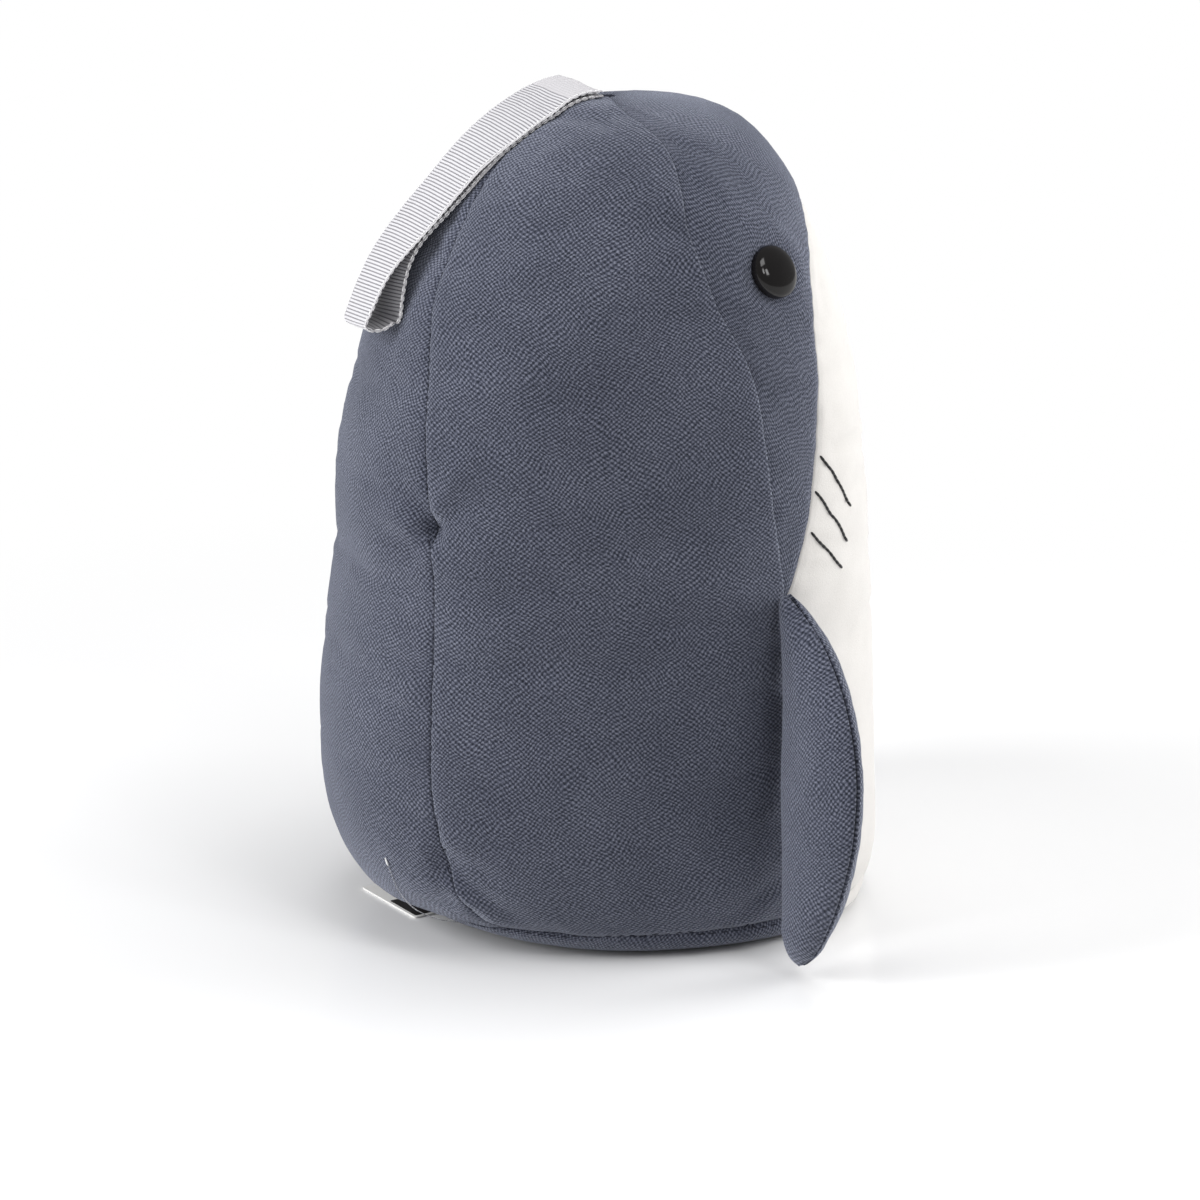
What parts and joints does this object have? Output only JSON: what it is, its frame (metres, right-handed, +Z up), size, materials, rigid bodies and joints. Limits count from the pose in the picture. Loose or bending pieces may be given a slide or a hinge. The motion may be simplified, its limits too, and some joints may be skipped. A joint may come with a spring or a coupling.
{
  "type": "plush shark",
  "caption": "Upright weighted plush shark with white belly, side fins, domed safety eyes, stitched gill lines, a ribbon carrying loop at the crown and a small blank tag.",
  "frame": {"origin": "on the floor under the body, on the flat face of the base panel", "axes": "+Z up to the head, -Y to the white belly, +X to the shark's left"},
  "size_m": [0.1974, 0.1558, 0.2336],
  "materials": {
    "blue_fabric": "matt blue-grey suede-like upholstery cloth with a fine slanting fleck",
    "white_fabric": "short warm-white plush",
    "filling": "polyester fibre",
    "bag_cloth": "plain woven cotton",
    "grain": "dry sand",
    "eye_black": "polished black",
    "washer": "moulded natural plastic",
    "thread_black": "twisted black sewing thread",
    "ribbon": "pale grey ribbed grosgrain with white edge stitching",
    "tag_plastic": "white nylon",
    "tag_card": "blank coated card"
  },
  "bodies": {
    "body": {"side_panel_right": "blue_fabric", "side_panel_left": "blue_fabric", "back_panel": "blue_fabric", "face_panel": "blue_fabric", "belly_panel": "white_fabric", "base_panel": "blue_fabric", "fibre_filling": "filling", "weight_bag": "bag_cloth", "weight_fill": "grain", "eye_right": "eye_black", "eye_left": "eye_black", "eye_washer_right": "washer", "eye_washer_left": "washer", "gill_stitches_right": "thread_black", "gill_stitches_left": "thread_black", "crown_tack": "blue_fabric", "tag_pin": "tag_plastic"},
    "fin_right": {"fin_right_rear": "blue_fabric", "fin_right_front": "blue_fabric", "fin_right_filling": "filling"},
    "fin_left": {"fin_left_rear": "blue_fabric", "fin_left_front": "blue_fabric", "fin_left_filling": "filling"},
    "ribbon": {"ribbon_loop": "ribbon"},
    "tag": {"tag_card": "tag_card"}
  },
  "joints": [
    {"name": "fin_right_flap", "type": "hinge", "parent": "body", "child": "fin_right", "pos_m": [-0.0596, -0.04, 0.072], "axis": [0.06, -0.0145, 0.9981], "range_deg": [-12, 20], "stiffness_Nm_per_rad": 0.05},
    {"name": "fin_left_flap", "type": "hinge", "parent": "body", "child": "fin_left", "pos_m": [0.0596, -0.04, 0.072], "axis": [0.06, 0.0145, -0.9981], "range_deg": [-12, 20], "stiffness_Nm_per_rad": 0.05},
    {"name": "ribbon_lift", "type": "hinge", "parent": "body", "child": "ribbon", "pos_m": [0.006, 0.0026, 0.2321], "axis": [0.9205, 0.3907, 0], "range_deg": [0, 100]},
    {"name": "tag_swivel", "type": "hinge", "parent": "body", "child": "tag", "pos_m": [-0.0049, 0.0457, 0.0003], "axis": [0, 0, 1], "range_deg": [0, 60]}
  ]
}
